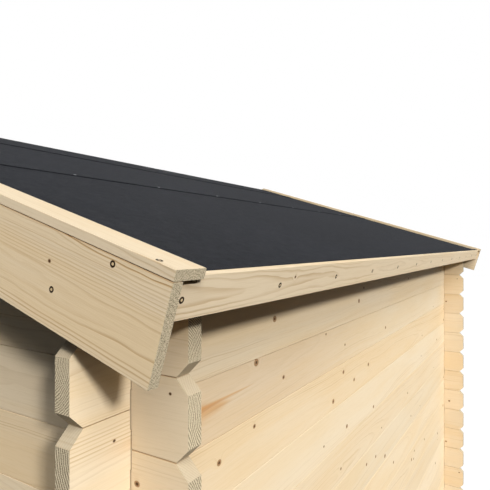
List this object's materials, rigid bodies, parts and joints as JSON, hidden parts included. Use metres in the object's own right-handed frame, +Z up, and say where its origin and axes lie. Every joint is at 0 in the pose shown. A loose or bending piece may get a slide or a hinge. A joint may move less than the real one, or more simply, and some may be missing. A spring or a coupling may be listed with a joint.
{
  "type": "log cabin",
  "caption": "Small gable-roofed garden cabin of interlocked machined logs with bevelled crossing ends, a felt roof edged with boards and battens, and a boarded door.",
  "frame": {"origin": "on the ground under the middle of the cabin", "axes": "+X across the gables towards the right side wall, +Y from the front gable to the back gable, +Z up"},
  "size_m": [2.963, 2.834, 2.373],
  "materials": {
    "log_wood": "planed bare spruce",
    "trim_wood": "planed bare spruce",
    "roof_wood": "sawn bare spruce",
    "door_wood": "planed bare spruce",
    "roofing_felt": "fine mineral bitumen felt",
    "galvanised_fittings": "dull zinc"
  },
  "bodies": {
    "root": {"back_gable_logs": "log_wood", "back_half_log": "log_wood", "back_left_verge_batten": "trim_wood", "back_left_verge_board": "trim_wood", "back_right_verge_batten": "trim_wood", "back_right_verge_board": "trim_wood", "back_wall_lower_logs": "log_wood", "back_wall_middle_logs": "log_wood", "back_wall_upper_logs": "log_wood", "door_boards": "door_wood", "door_frame": "door_wood", "door_handle": "galvanised_fittings", "door_hinges": "galvanised_fittings", "door_ledges": "door_wood", "front_gable_logs": "log_wood", "front_half_log": "log_wood", "front_left_verge_batten": "trim_wood", "front_left_verge_board": "trim_wood", "front_lintel_log": "log_wood", "front_right_verge_batten": "trim_wood", "front_right_verge_board": "trim_wood", "front_wall_left_logs": "log_wood", "front_wall_right_logs": "log_wood", "left_eaves_lath": "roof_wood", "left_fascia": "trim_wood", "left_lower_felt": "roofing_felt", "left_purlin": "roof_wood", "left_roof_boards": "roof_wood", "left_upper_felt": "roofing_felt", "left_wall_lower_logs": "log_wood", "left_wall_middle_logs": "log_wood", "left_wall_plate_log": "log_wood", "left_wall_upper_logs": "log_wood", "ridge_felt": "roofing_felt", "ridge_purlin": "roof_wood", "right_eaves_lath": "roof_wood", "right_fascia": "trim_wood", "right_lower_felt": "roofing_felt", "right_purlin": "roof_wood", "right_roof_boards": "roof_wood", "right_upper_felt": "roofing_felt", "right_wall_lower_logs": "log_wood", "right_wall_middle_logs": "log_wood", "right_wall_plate_log": "log_wood", "right_wall_upper_logs": "log_wood"}
  },
  "joints": []
}
